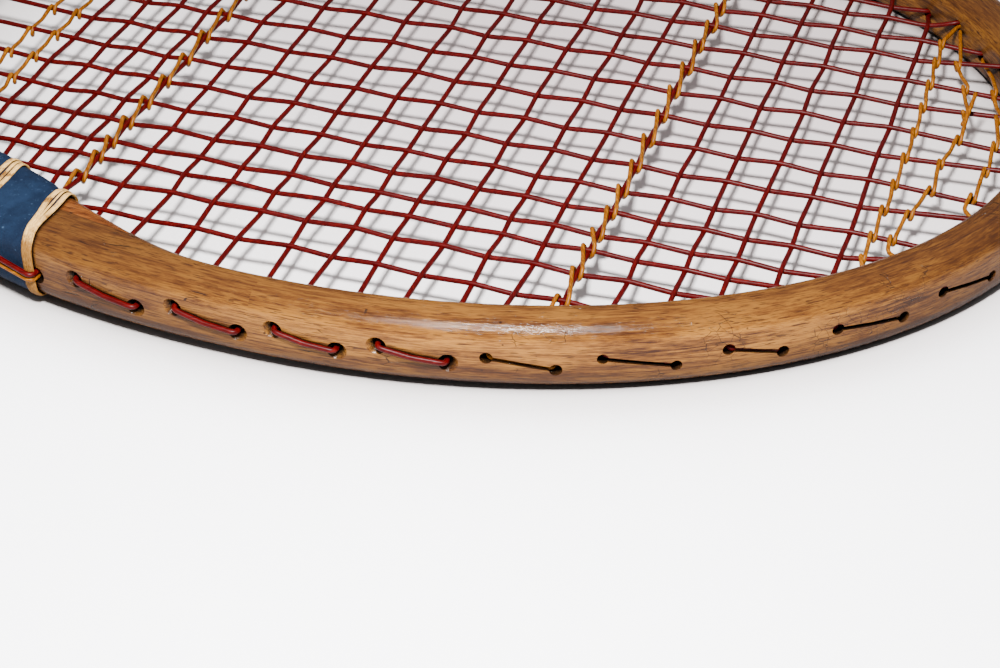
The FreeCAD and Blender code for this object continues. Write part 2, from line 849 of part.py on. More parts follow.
def make_bindings(whole, tools):
    binding_solid = frame_solid(binding_thickness)
    whipping_solid = frame_solid(binding_thickness + whipping_thickness)
    throat_inner, throat_outer = throat_line(0.0)
    edge_inner, edge_outer = throat_line(whipping_width)
    binding = [(binding_head_x, band_inner_y), (binding_head_x, band_outer_y),
               throat_outer, throat_inner]
    throat_band = [edge_inner, edge_outer, throat_outer, throat_inner]
    for side, name in ((1, "left"), (-1, "right")):
        save("shoulder_binding_" + name, sleeve(whole, binding_solid, binding, side).cut(tools))
        head_band = straight_band(binding_head_x, whipping_width)
        save("head_whipping_" + name, sleeve(binding_solid, whipping_solid, head_band, side))
        bands = {"middle_whipping_": straight_band(binding_head_x - middle_whipping_offset,
                                                   middle_whipping_width),
                 "throat_whipping_": throat_band}
        for band_name, outline in bands.items():
            band = sleeve(binding_solid, whipping_solid, outline, side)
            save(band_name + name, band.cut(tools))


def make_handle(whole):
    block = handle_block().cut(whole)
    end = cutter_end_x
    far = cutter_half_size
    layer = pallet_split_height
    save("handle_face_front", block.common(box_between((0, -far, layer), (end, far, far))))
    save("handle_face_back", block.common(box_between((0, -far, -far), (end, far, -layer))))
    save("handle_cheek_left", block.common(box_between((0, 0, -layer), (end, far, layer))))
    save("handle_cheek_right", block.common(box_between((0, -far, -layer), (end, 0, layer))))
    inside = octagon_prism(grip_start_x, grip_end_x + collar_length, 0)
    collar_end_x = grip_end_x + collar_length
    save("leather_grip", octagon_prism(grip_start_x, grip_end_x, grip_thickness).cut(inside))
    save("grip_collar", octagon_prism(grip_end_x, collar_end_x, collar_thickness).cut(inside))
    tacks = butt_tacks()
    save("butt_cap", butt_cap().cut(Part.makeCompound(tacks)))
    save("butt_tacks", Part.makeCompound(tacks))


def make_strings(holes):
    save("main_string", string_solid("main", main_string(holes), string_diameter))
    save("cross_string", string_solid("cross", cross_string(holes), string_diameter))
    over_whipping = surface_gap + binding_thickness + whipping_thickness
    gaps = {"throat_wrap_string": (throat_wrapped_cross, over_whipping),
            "head_wrap_string": (head_wrapped_cross, groove_gap)}
    for name, (number, gap) in gaps.items():
        save(name, string_solid(name, wrap_string(holes, number, gap), gold_diameter))
    for order, (end, middle_x, edge_x, count) in enumerate(trims, 1):
        name = end + "_trim_string_" + str(order)
        if order == parted_trim:
            parts = parted_trim_string(holes, middle_x, edge_x, count)
            save(name, Part.makeCompound([string_solid(name, part, gold_diameter)
                                          for part in parts]))
        else:
            corners = trim_string(holes, end, middle_x, edge_x, count)
            save(name, string_solid(name, corners, gold_diameter))


def main():
    os.makedirs("parts", exist_ok=True)
    holes = make_holes()
    tools = hole_tools(holes)
    whole = make_frame(tools)
    make_bindings(whole, tools)
    make_handle(whole)
    make_strings(holes)


main()
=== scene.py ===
import math
import random

import bpy
import numpy as np
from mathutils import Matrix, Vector, noise


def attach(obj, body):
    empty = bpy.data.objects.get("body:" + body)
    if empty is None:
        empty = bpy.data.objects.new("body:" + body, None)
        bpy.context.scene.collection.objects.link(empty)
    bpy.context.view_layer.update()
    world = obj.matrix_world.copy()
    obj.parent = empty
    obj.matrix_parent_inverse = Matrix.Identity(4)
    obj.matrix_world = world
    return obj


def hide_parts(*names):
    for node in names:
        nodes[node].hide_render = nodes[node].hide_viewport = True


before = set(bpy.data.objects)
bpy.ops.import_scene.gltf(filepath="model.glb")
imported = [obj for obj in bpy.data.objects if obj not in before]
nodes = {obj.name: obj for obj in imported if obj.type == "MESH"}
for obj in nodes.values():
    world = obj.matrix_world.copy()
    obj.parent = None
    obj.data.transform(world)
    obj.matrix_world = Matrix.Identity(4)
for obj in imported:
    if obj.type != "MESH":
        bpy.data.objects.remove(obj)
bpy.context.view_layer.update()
MM = 0.001

# ---- driving sizes, in millimetres ----
head_centre_x = 533.5
tip_x = 686.0
half_width = 114.0
face_height = 8.0
outline = [(533.5, 114.0), (482.0, 109.1), (450.0, 99.5), (420.0, 85.0), (390.0, 65.5),
           (360.0, 44.0), (330.0, 26.0), (300.0, 15.8), (272.0, 13.0), (13.0, 13.0)]
main_offsets = [5.8, 17.5, 28.6, 39.5, 48.8, 57.8, 64.7, 73.1, 84.0]
cross_places = [443.2, 452.4, 460.6, 469.0, 474.2, 484.6, 496.2, 507.0, 518.3, 529.5, 539.9,
                549.9, 560.6, 571.3, 581.1, 591.2, 601.9, 612.3, 621.9, 631.8, 642.5]
lit_point = Vector((560.0, -95.0, -10.0))      # the light aims here
painted_light_centre = Vector((596.0, -104.0, 0.0))  # painted light: the wood is painted lightest here and darker away from it


# ---- a small helper for node graphs ----
class Graph:
    """Builds one material; inputs may be numbers, colours or sockets."""

    def __init__(self, name):
        self.material = bpy.data.materials.new(name)
        self.material.use_nodes = True
        self.tree = self.material.node_tree
        self.tree.nodes.clear()
        self.output = self.tree.nodes.new("ShaderNodeOutputMaterial")

    def feed(self, socket, value):
        if isinstance(value, bpy.types.NodeSocket):
            self.tree.links.new(value, socket)
            return
        if isinstance(value, tuple) and len(value) == 3 and socket.type == "RGBA":
            value = value + (1.0,)
        socket.default_value = value

    def node(self, kind, inputs=None, **settings):
        made = self.tree.nodes.new("ShaderNode" + kind)
        for key, value in settings.items():
            setattr(made, key, value)
        for key, value in (inputs or {}).items():
            if value is not None:
                self.feed(made.inputs[key], value)
        return made

    def math(self, operation, a, b=0.0, clamp=False):
        made = self.node("Math", {0: a, 1: b}, operation=operation, use_clamp=clamp)
        return made.outputs[0]

    def times(self, a, b):
        return self.math("MULTIPLY", a, b)

    def plus(self, a, b):
        return self.math("ADD", a, b)

    def minus(self, a, b):
        return self.math("SUBTRACT", a, b)

    def position(self):
        """The point in the racket's own axes, in millimetres."""
        place = self.node("TexCoord").outputs["Object"]
        scaled = self.node("VectorMath", {0: place, "Scale": 1 / MM}, operation="SCALE")
        return scaled.outputs[0]

    def distance(self, place, centre):
        made = self.node("VectorMath", {0: place, 1: centre}, operation="DISTANCE")
        return made.outputs["Value"]

    def openness(self, reach, samples):
        """1 on an open surface, and less in holes and creases up to the reach in metres."""
        made = self.node("AmbientOcclusion", {"Distance": reach}, samples=samples)
        return made.outputs["AO"]

    def split(self, vector):
        return tuple(self.node("SeparateXYZ", {0: vector}).outputs)

    def join(self, x, y, z):
        return self.node("CombineXYZ", {0: x, 1: y, 2: z}).outputs[0]

    def noise(self, vector, scale=1.0, detail=4.0, rough=0.55, w=None, distortion=0.0):
        made = self.node("TexNoise", {"Vector": vector, "W": w, "Scale": scale, "Detail": detail,
                                      "Roughness": rough, "Distortion": distortion},
                         noise_dimensions="3D" if w is None else "4D")
        return made.outputs["Fac"]

    def cells(self, vector, scale=1.0, feature="F1", spread=1.0):
        made = self.node("TexVoronoi", {"Vector": vector, "Scale": scale, "Randomness": spread},
                         feature=feature)
        return made.outputs["Distance"]

    def ramp(self, value, stops):
        made = self.node("ValToRGB", {0: value})
        elements = made.color_ramp.elements
        while len(elements) < len(stops):
            elements.new(0.5)
        for element, (place, colour) in zip(elements, stops):
            element.position = place
            element.color = colour + (1.0,)
        return made.outputs[0]

    def band(self, value, low, high, start=0.0, end=1.0):
        """Goes smoothly from start to end while the value goes from low to high."""
        made = self.node("MapRange", {0: value, 1: low, 2: high, 3: start, 4: end},
                         interpolation_type="SMOOTHSTEP")
        return made.outputs[0]

    def mix(self, share, a, b):
        return self.node("Mix", {0: share, 6: a, 7: b}, data_type="RGBA").outputs[2]

    def bump(self, height, strength, distance):
        made = self.node("Bump", {"Height": height, "Strength": strength, "Distance": distance})
        return made.outputs[0]

    def shader(self, **inputs):
        made = self.node("BsdfPrincipled")
        for key, value in inputs.items():
            self.feed(made.inputs[key.replace("_", " ")], value)
        self.tree.links.new(made.outputs[0], self.output.inputs[0])


shoulder_squash = 0.85           # the shoulder runs on a slant, so distance in Y is too long
mean_across = 125.0              # turns shares of the head's outline into millimetres
mean_along = 140.0


def hoop_coordinates(g):
    """Distance along the frame, distance across it and height, all in millimetres."""
    x, y, z = g.split(g.position())
    side = g.math("ABSOLUTE", y)
    curve = g.node("FloatCurve")
    points = curve.mapping.curves[0].points
    while len(points) < len(outline):
        points.new(0.5, 0.5)
    for point, (px, py) in zip(points, sorted(outline)):
        point.location = (px / head_centre_x, py / half_width)
    curve.mapping.update()
    g.feed(curve.inputs["Value"], g.math("DIVIDE", x, head_centre_x, clamp=True))
    edge = g.times(curve.outputs[0], half_width)
    shoulder_across = g.times(g.minus(side, edge), shoulder_squash)
    shoulder_along = g.minus(x, head_centre_x)
    ahead = g.math("DIVIDE", g.minus(x, head_centre_x), tip_x - head_centre_x)
    aside = g.math("DIVIDE", side, half_width)
    angle = g.math("ARCTAN2", ahead, aside)
    radius = g.math("SQRT", g.plus(g.times(ahead, ahead), g.times(aside, aside)))
    head_across = g.times(g.minus(radius, 1.0), mean_across)
    head_along = g.times(angle, mean_along)
    in_head = g.math("GREATER_THAN", x, head_centre_x)

    def choose(a, b):
        return g.plus(g.times(in_head, a), g.times(g.minus(1.0, in_head), b))

    return (choose(head_along, shoulder_along), choose(head_across, shoulder_across), z,
            g.times(y, 0.02))


# reach of the painted shade in holes and grooves
hole_shade_reach = 0.0030
pore_black = (0.004, 0.003, 0.003)
mark_black = (0.004, 0.003, 0.0025)
# colour of the painted shade in holes and grooves
hole_shade_black = (0.0012, 0.0008, 0.0006)
bare_wood = (0.34, 0.23, 0.13)
varnish_weight = 0.28


def varnished_wood(name, coordinates, tones, streaks_and_painted_shade=True):
    """Old varnished wood with its grain along the first coordinate.

    It has long fibres, short dark pores, specks, scratches and chipped rims, with painted shade
    that makes its holes near black. Outside, it also has purplish streaks low on its outer side,
    and painted shade darkens that low outer side, its top, and the wood away from its painted
    brightest place.
    """
    g = Graph(name)
    along, across, height, drift = coordinates(g)
    pale, mid, dark, streak = tones

    def stretched(long, wide):
        return g.join(g.times(along, long), g.times(across, wide), g.times(height, wide))

    broad = g.noise(stretched(0.012, 0.30), 1.0, 4.0, 0.6, drift, 0.5)
    fibres = g.noise(stretched(0.11, 1.9), 1.0, 3.0, 0.7, drift, 0.3)
    fine = g.noise(stretched(0.22, 4.8), 1.0, 3.0, 0.8, drift)
    mottle = g.noise(stretched(0.045, 0.12), 1.0, 4.0, 0.65, drift)
    tone = g.plus(g.times(broad, 0.30), g.plus(g.times(fibres, 0.40), g.times(fine, 0.42)))
    tone = g.plus(tone, g.times(g.minus(mottle, 0.5), 0.45))
    colour = g.ramp(tone, [(0.45, dark), (0.535, mid), (0.63, pale)])
    if streaks_and_painted_shade:
        line = g.noise(stretched(0.012, 0.9), 1.0, 5.0, 0.65, drift)
        # the low part of the outer side: it holds the streaks and the painted shade
        low = g.times(g.band(height, 1.5, -5.0), g.band(across, -5.0, -2.0))
        mask = g.times(g.band(line, 0.48, 0.60), low)
        colour = g.mix(g.times(mask, 0.85), colour, streak)
        # painted shade: the low outer side is painted darker in the streak tone
        colour = g.mix(g.times(low, 0.55), colour, streak)
        # painted shade: the wood is painted darker on top
        colour = g.mix(g.band(height, 3.8, 7.2, 0.0, 0.52), colour, dark)
        # painted shade: the wood is painted darker away from its brightest place
        distance_from_painted_light = g.distance(g.position(), painted_light_centre)
        colour = g.mix(g.band(distance_from_painted_light, 30.0, 115.0, 0.0, 0.50), colour, dark)
    pores = g.noise(stretched(0.30, 3.9), 1.0, 1.0, 0.5, drift)
    pore_mask = g.times(g.band(pores, 0.58, 0.66), g.band(mottle, 0.36, 0.56))
    colour = g.mix(g.times(pore_mask, 0.80), colour, g.mix(0.5, dark, pore_black))
    place = g.position()
    speck = g.cells(place, 0.30)
    seen = g.noise(place, 0.05, 3.0)
    speck_mask = g.times(g.band(speck, 0.11, 0.06), g.band(seen, 0.52, 0.60))
    tilted = g.node("Mapping", {"Vector": place, "Rotation": (0.4, 0.5, 0.75),
                                "Scale": (0.06, 0.8, 0.5)})
    scratch = g.cells(tilted.outputs[0], 1.0, "DISTANCE_TO_EDGE")
    where = g.noise(place, 0.07, 2.0)
    scratch_mask = g.times(g.band(scratch, 0.022, 0.008), g.band(where, 0.57, 0.62))
    marks = g.math("MAXIMUM", speck_mask, scratch_mask)
    colour = g.mix(g.times(marks, 0.85), colour, mark_black)
    opened = g.openness(hole_shade_reach, 6)
    # painted shade: holes, grooves and tight hollows are painted near black
    hole_shade = g.band(opened, 0.50, 0.86, 1.0, 0.0)
    rim = g.times(g.band(opened, 0.84, 0.90), g.band(opened, 0.97, 0.92))
    chipped = g.times(g.band(g.noise(place, 0.55, 4.0, 0.7), 0.47, 0.60),
                      g.times(rim, g.band(g.math("ABSOLUTE", height), 4.2, 3.4)))
    colour = g.mix(g.times(chipped, 0.55), colour, bare_wood)
    colour = g.mix(g.times(hole_shade, 0.97), colour, hole_shade_black)
    height_map = g.minus(g.plus(g.times(fibres, 0.7), g.times(fine, 0.5)),
                         g.plus(g.times(marks, 0.6), g.times(pore_mask, 0.25)))
    bump = g.bump(height_map, 0.6, 0.00012)
    ripple = g.bump(g.plus(height_map, g.times(mottle, 2.0)), 0.9, 0.00011)
    rough = g.plus(g.times(fine, 0.2), 0.32)
    g.shader(Base_Color=colour, Roughness=rough, Normal=bump, Specular_IOR_Level=0.0,
             Coat_Weight=varnish_weight, Coat_Roughness=0.13, Coat_IOR=1.33, Coat_Normal=ripple)
    return g.material


def straight_coordinates(g):
    x, y, z = g.split(g.position())
    return x, y, z, 0.0


def use(name, material):
    """Gives a CAD node its material, on its own slots."""
    mesh = nodes[name].data
    if not mesh.materials:
        mesh.materials.append(material)
    for index in range(len(mesh.materials)):
        mesh.materials[index] = material


# tones of a wood: pale, middle, dark, and the streaks; the dark and streak tones also paint shade
bow_tones = ((0.145, 0.060, 0.0100), (0.070, 0.0258, 0.0054), (0.0175, 0.0062, 0.0026),
             (0.0150, 0.0060, 0.0038))
bow_wood = varnished_wood("bow_wood", hoop_coordinates, bow_tones)
wedge_tones = ((0.085, 0.027, 0.0055), (0.05, 0.014, 0.003), (0.02, 0.005, 0.0015),
               (0.014, 0.004, 0.002))
wedge_wood = varnished_wood("wedge_wood", straight_coordinates, wedge_tones, False)
handle_tones = ((0.17, 0.075, 0.018), (0.12, 0.048, 0.010), (0.06, 0.02, 0.005),
                (0.03, 0.01, 0.006))
handle_wood = varnished_wood("handle_wood", straight_coordinates, handle_tones, False)
use("bow", bow_wood)
use("throat_wedge", wedge_wood)
use("shaft_core", wedge_wood)
for name in ("handle_face_front", "handle_face_back", "handle_cheek_left", "handle_cheek_right"):
    use(name, handle_wood)


def thread_coordinates(g, twist):
    """Along a string and round it; the pattern turns with the twist, in turns per millimetre."""
    u, v, _ = g.split(g.node("TexCoord").outputs["UV"])
    along = g.times(u, 1 / MM)
    turn = g.times(g.plus(v, g.times(along, twist)), 2 * math.pi)
    return along, g.math("COSINE", turn), g.math("SINE", turn)


def gut(name, dark, bright, edge):
    """Twisted gut string with short bright streaks."""
    g = Graph(name)
    along, round_x, round_y = thread_coordinates(g, 0.12)
    grain = g.noise(g.join(g.times(along, 0.35), round_x, round_y), 1.6, 4.0, 0.6)
    streak = g.noise(g.join(g.times(along, 0.22), round_x, round_y), 3.2, 2.0, 0.5)
    blotch = g.noise(g.position(), 0.05, 3.0)
    colour = g.mix(g.band(grain, 0.4, 0.65), dark, bright)
    colour = g.mix(g.times(g.band(streak, 0.58, 0.70), 0.6), colour, edge)
    colour = g.mix(g.times(g.band(blotch, 0.35, 0.65), 0.25), colour, dark)
    bump = g.bump(grain, 0.5, 0.00008)
    g.shader(Base_Color=colour, Roughness=0.36, Specular_IOR_Level=0.05, Normal=bump)
    return g.material


red_gut = gut("red_string", (0.018, 0.0003, 0.0004), (0.037, 0.0006, 0.0008),
              (0.085, 0.005, 0.003))
gold_gut = gut("gold_string", (0.060, 0.0165, 0.0004), (0.125, 0.040, 0.0007),
               (0.30, 0.135, 0.010))


def cloth(name):
    """Worn cloth tape with its weave, pale flecks and dark stains."""
    g = Graph(name)
    place = g.position()
    weave = g.noise(place, 2.5, 3.0, 0.7)
    blotch = g.noise(place, 0.12, 5.0, 0.65)
    colour = g.mix(g.band(blotch, 0.35, 0.7), (0.0016, 0.0042, 0.0115), (0.0038, 0.0092, 0.0220))
    colour = g.mix(g.times(g.band(weave, 0.55, 0.75), 0.3), colour, (0.008, 0.018, 0.037))
    flecks = g.noise(place, 1.1, 4.0, 0.7)
    colour = g.mix(g.times(g.band(flecks, 0.62, 0.72), 0.7), colour, (0.035, 0.060, 0.10))
    colour = g.mix(g.times(g.band(flecks, 0.40, 0.32), 0.6), colour, (0.0012, 0.0028, 0.0075))
    bump = g.bump(weave, 0.6, 0.0002)
    g.shader(Base_Color=colour, Roughness=0.8, Specular_IOR_Level=0.05, Normal=bump)
    return g.material


def thread(name):
    """Flat waxed thread: tan, worn to cream along its raised parts; a painted highlight pales its
    top.
    """
    g = Graph(name)
    along, round_x, round_y = thread_coordinates(g, 0.0)
    fibre = g.noise(g.join(g.times(along, 0.3), round_x, round_y), 4.0, 4.0, 0.6)
    place = g.position()
    # the noise is wear; the rise with height is a painted highlight on top of the frame
    worn = g.plus(g.noise(place, 0.22, 4.0, 0.6),
                  g.band(g.split(place)[2], 3.5, 7.5, -0.30, 0.10))
    colour = g.mix(g.band(worn, 0.44, 0.62), (0.105, 0.046, 0.0085), (0.34, 0.20, 0.060))
    colour = g.mix(g.times(g.band(fibre, 0.52, 0.7), g.band(worn, 0.35, 0.6, 0.1, 0.6)),
                   colour, (0.55, 0.36, 0.15))
    colour = g.mix(g.times(g.band(fibre, 0.47, 0.36), 0.8), colour, (0.040, 0.013, 0.002))
    bump = g.bump(fibre, 0.7, 0.0001)
    g.shader(Base_Color=colour, Roughness=0.6, Specular_IOR_Level=0.04, Normal=bump)
    return g.material


binding_cloth = cloth("blue_binding")
whipping = thread("whipping_thread")


crease_reach = 0.0025


def leather(name, dark, pale, perforated=False):
    """Smooth old leather, darker in its creases, with rows of small holes when perforated."""
    g = Graph(name)
    place = g.position()
    pebble = g.cells(place, 1.1)
    worn = g.noise(place, 0.06, 5.0, 0.6)
    spots = g.noise(place, 0.5, 4.0, 0.65)
    colour = g.mix(g.band(worn, 0.35, 0.7), dark, pale)
    colour = g.mix(g.times(g.band(spots, 0.52, 0.68), 0.6), colour, dark)
    crease = g.band(g.openness(crease_reach, 6), 0.45, 0.85, 0.85, 0.0)
    colour = g.mix(crease, colour, (0.006, 0.003, 0.002))
    height = g.minus(worn, g.times(pebble, 0.4))
    if perforated:
        u, v, _ = g.split(g.node("UVMap", uv_map="along").outputs[0])
        grid = g.join(g.times(u, 1 / MM), g.times(v, 1 / MM), 0.0)
        dots = g.band(g.cells(grid, 0.33, spread=0.0), 0.16, 0.10)
        colour = g.mix(g.times(dots, 0.9), colour, (0.004, 0.002, 0.0015))
        height = g.minus(height, dots)
    bump = g.bump(height, 0.5, 0.0002)
    g.shader(Base_Color=colour, Roughness=g.band(worn, 0.3, 0.7, 0.62, 0.42), Normal=bump,
             Specular_IOR_Level=0.3)
    return g.material


grip_leather = leather("grip_leather", (0.045, 0.018, 0.009), (0.13, 0.055, 0.026), True)
butt_leather = leather("butt_leather", (0.030, 0.012, 0.007), (0.075, 0.032, 0.017))


def tape(name):
    """Black cloth tape with its fine weave."""
    g = Graph(name)
    place = g.position()
    x, y, z = g.split(place)
    round_way = g.times(g.math("ARCTAN2", z, y), 17.0)
    warp = g.math("SINE", g.times(x, 9.0))
    weft = g.math("SINE", g.times(round_way, 9.0))
    weave = g.times(warp, weft)
    worn = g.noise(place, 0.3, 4.0, 0.6)
    colour = g.mix(g.band(worn, 0.35, 0.65), (0.012, 0.012, 0.013), (0.040, 0.037, 0.034))
    colour = g.mix(g.band(weave, 0.2, 1.0, 0.0, 0.4), colour, (0.060, 0.056, 0.050))
    bump = g.bump(weave, 0.4, 0.0001)
    g.shader(Base_Color=colour, Roughness=0.8, Normal=bump, Specular_IOR_Level=0.2)
    return g.material


collar_tape = tape("collar_tape")


def brass(name):
    """Tarnished brass."""
    g = Graph(name)
    place = g.position()
    tarnish = g.noise(place, 0.8, 4.0)
    colour = g.mix(tarnish, (0.55, 0.36, 0.12), (0.25, 0.15, 0.06))
    g.shader(Base_Color=colour, Metallic=1.0, Roughness=0.4)
    return g.material


use("butt_tacks", brass("brass_tack"))


# ---- outline and string holes ----
inner_half = 102.7
inner_reach = 140.5
outer_reach = tip_x - head_centre_x
outer_points = outline[:-1]
inner_points = [(533.5, 102.7), (512.0, 101.0), (496.0, 95.6), (470.0, 83.6), (446.0, 71.5),
                (425.5, 54.5), (411.5, 30.5), (407.0, 0.0)]
up = Vector((0, 0, 1))


def smooth_curve(points, first, last, steps=60):
    """Cubic curve through the points with its end directions given, as a dense line."""
    p = np.array(points, float)
    t = np.concatenate(([0.0], np.cumsum(np.linalg.norm(np.diff(p, axis=0), axis=1))))
    count = len(p)
    left = np.eye(count)
    right = np.zeros((count, 2))
    right[0], right[-1] = first, last
    for i in range(1, count - 1):
        before, after = t[i] - t[i - 1], t[i + 1] - t[i]
        left[i, i - 1:i + 2] = after, 2 * (before + after), before
        right[i] = 3 * (before * (p[i + 1] - p[i]) / after + after * (p[i] - p[i - 1]) / before)
    slope = np.linalg.solve(left, right)
    line = []
    for i in range(count - 1):
        span = t[i + 1] - t[i]
        for k in range(steps):
            u = k / steps
            line.append((2 * u ** 3 - 3 * u ** 2 + 1) * p[i] + (3 * u ** 2 - 2 * u ** 3) * p[i + 1]
                        + span * ((u ** 3 - 2 * u ** 2 + u) * slope[i]
                                  + (u ** 3 - u ** 2) * slope[i + 1]))
    line.append(p[-1])
    return np.array(line)[::-1]


outer_line = smooth_curve(outer_points, (-1, 0), (-1, 0))
inner_line = smooth_curve(inner_points, (-1, 0), (0, -1))


def outer_y(x):
    if x > head_centre_x:
        return half_width * math.sqrt(max(0.0, 1 - ((x - head_centre_x) / outer_reach) ** 2))
    return float(np.interp(x, outer_line[:, 0], outer_line[:, 1]))


def inner_y(x):
    if x > head_centre_x:
        return inner_half * math.sqrt(max(0.0, 1 - ((x - head_centre_x) / inner_reach) ** 2))
    return float(np.interp(x, inner_line[:, 0], inner_line[:, 1]))


def inner_tip_x(y):
    return head_centre_x + inner_reach * math.sqrt(1 - (y / inner_half) ** 2)


def inner_throat_x(y):
    return float(np.interp(y, inner_line[:, 1], inner_line[:, 0]))


def frame_normal(x, y):
    if x > head_centre_x:
        return Vector(((x - head_centre_x) / outer_reach ** 2, y / half_width ** 2, 0)).normalized()
    near = int(np.argmin(np.hypot(outer_line[:, 0] - x, outer_line[:, 1] - y)))
    near = min(max(near, 1), len(outer_line) - 2)
    run = outer_line[near + 1] - outer_line[near - 1]
    return Vector((-run[1], run[0], 0)).normalized()


def reach_outside(start, direction):
    near, far = 0.0, 80.0
    for _ in range(40):
        half = (near + far) / 2
        place = start + direction * half
        if place.x < tip_x and place.y < outer_y(place.x):
            near = half
        else:
            far = half
    return start + direction * near


share_offset = 0.66


class Hole:
    """A string hole by its two mouths; side is 1 on the left and -1 on the right."""

    def __init__(self, inside, outside, height, side, shared):
        self.inside = Vector((inside.x, inside.y * side, height))
        self.outside = Vector((outside.x, outside.y * side, height))
        self.shared = shared
        self.direction = (self.outside - self.inside).normalized()

    def lower_outside(self, drop):
        """Slants the hole down towards its outer mouth."""
        self.outside = self.outside - up * drop
        self.direction = (self.outside - self.inside).normalized()

    def at(self, distance, place):
        """A point outside (or inside, if negative) the outer mouth, on a place in the hole."""
        return self.outside + self.direction * distance + self.aside(place)

    def mouth(self, place):
        return self.inside + self.aside(place)

    def aside(self, place):
        """Two strings in one hole lie above (1) and below (-1) its middle."""
        return up * (share_offset * place * self.shared)


last_main = 8
last_cross = 20
first_shared = 18                # from here on the crosses share holes with the outermost mains
shared_hole_x = [623.3, 630.2, 641.0]
company = (3, 4, 5, 14, 15)      # the holes of these crosses take a second string too
first_staggered = 3              # nearer the throat the crosses use only the lower row
last_over_binding = 4            # up to here the cross string runs outside over the binding
last_countersunk = 13            # beyond it the string lies in grooves
last_own_tip_main = 5            # the mains up to here have tip holes that no cross uses
throat_trim_mains = (5, 6)       # their throat holes take a trim string too
throat_exits = [367.0, 376.0, 385.0, 394.0, 403.0, 412.0, 421.0]
hole_stagger = 1.3               # height of the two rows of holes off the middle
throat_stagger = 2.1             # the same at the throat: the mains above, the crosses below
pair_spread = 1.4                # shift of the outer mouths along the frame, to and fro in turn
grooved_drop = 0.8               # how much lower a hole ends in its groove


def square_hole(x, height, side, shared, spread):
    """A hole across the frame; spread shifts its outer mouth along the frame."""
    inside = Vector((x, inner_y(x), 0))
    direction = frame_normal(inside.x, inside.y)
    along = Vector((direction.y, -direction.x, 0))
    aim = reach_outside(inside, direction) + along * spread - inside
    return Hole(inside, reach_outside(inside, aim.normalized()), height, side, shared)


def row(order, side):
    """Holes lie above (1) and below (-1) the middle in turn."""
    return side * (1 if order % 2 else -1)


def cross_hole(number, side):
    x = cross_places[number]
    turn = row(number, side)
    height = hole_stagger * turn if number >= first_staggered else -throat_stagger
    if number >= first_shared:
        x = shared_hole_x[number - first_shared]
    shared = number >= first_shared or number in company
    hole = square_hole(x, height, side, shared, -pair_spread * turn)
    if number > last_countersunk:
        hole.lower_outside(grooved_drop)
    return hole


def main_hole(end, main, side):
    if end == "tip":
        if main > last_own_tip_main:
            return cross_hole(first_shared + last_main - main, side)
        turn = row(last_cross + last_own_tip_main - main + 1, side)
        return square_hole(inner_tip_x(main_offsets[main]), hole_stagger * turn, side, main > 1,
                           -pair_spread * turn)
    if main == last_main:
        return cross_hole(first_staggered, side)
    y = main_offsets[main]
    if main >= len(throat_exits):
        return square_hole(inner_throat_x(y), throat_stagger, side, False, 0.0)
    exit_x = throat_exits[main]
    return Hole(Vector((inner_throat_x(y), y, 0)), Vector((exit_x, outer_y(exit_x), 0)),
                throat_stagger, side, main in throat_trim_mains)


# ---- string meshes ----
def rounded(corners, arc_steps=5):
    """Straight runs joined by arcs; each corner comes with its largest radius."""
    places = [Vector(corners[0][0])]
    for (before, _), (corner, limit), (after, _) in zip(corners, corners[1:], corners[2:]):
        before, corner, after = Vector(before), Vector(corner), Vector(after)
        incoming, outgoing = corner - before, after - corner
        shorter = min(incoming.length, outgoing.length)
        incoming.normalize()
        outgoing.normalize()
        turn = incoming.angle(outgoing, 0.0)
        if turn < 0.003:
            continue
        reach = min(limit * math.tan(turn / 2), 0.46 * shorter)
        first, last = corner - incoming * reach, corner + outgoing * reach
        for k in range(arc_steps + 1):
            u = k / arc_steps
            places.append(first.lerp(corner, u).lerp(corner.lerp(last, u), u))
    places.append(Vector(corners[-1][0]))
    return places


def resampled(places, step):
    """The line again with a point at least every step."""
    result = [places[0]]
    for a, b in zip(places, places[1:]):
        pieces = max(1, math.ceil((b - a).length / step))
        result += [a.lerp(b, k / pieces) for k in range(1, pieces + 1)]
    return result


def ring_faces(ring_u, around, closed=False):
    """Quads between rings of points, with their UVs; closed joins the last ring to the first.

    The list of U values has one more than there are rings when it is closed.
    """
    rings = len(ring_u) - closed
    faces, uvs = [], []
    for i in range(len(ring_u) - 1):
        j = (i + 1) % rings
        for k in range(around):
            m = (k + 1) % around
            faces.append((i * around + k, i * around + m, j * around + m, j * around + k))
            uvs += [(ring_u[i], k / around), (ring_u[i], (k + 1) / around),
                    (ring_u[i + 1], (k + 1) / around), (ring_u[i + 1], k / around)]
    return faces, uvs


def tube(name, places, radius, material, covers=(), sides=12, flat=1.0, closed=False,
         outward=None, uneven=0.0):
    """A string, thread or strap along a line in millimetres; flat presses its section."""
    count = len(places)
    tangents = []
    for i in range(count):
        before, after = places[max(i - 1, 0)], places[min(i + 1, count - 1)]
        if closed:
            before, after = places[i - 1], places[(i + 1) % count]
        tangents.append((after - before).normalized())
    normal = tangents[0].orthogonal().normalized()
    vertices = []
    travelled = 0.0
    ring_u = []
    for i in range(count):
        if i:
            travelled += (places[i] - places[i - 1]).length
        if outward is not None:
            normal = outward(places[i])
        normal = (normal - tangents[i] * normal.dot(tangents[i])).normalized()
        across = tangents[i].cross(normal)
        size = radius * (1 + uneven * noise.noise(places[i] * 0.5))
        ring_u.append(travelled * MM)
        for k in range(sides):
            angle = 2 * math.pi * k / sides
            offset = normal * (math.cos(angle) * flat) + across * math.sin(angle)
            vertices.append((places[i] + offset * size) * MM)
    if closed:
        ring_u.append((travelled + (places[0] - places[-1]).length) * MM)
    faces, uvs = ring_faces(ring_u, sides, closed)
    if not closed:
        faces += [tuple(range(sides - 1, -1, -1)), tuple(range((count - 1) * sides, count * sides))]
        uvs += [(0, 0)] * sides + [(travelled * MM, 0)] * sides
    add_mesh(name, vertices, faces, uvs, material, covers)


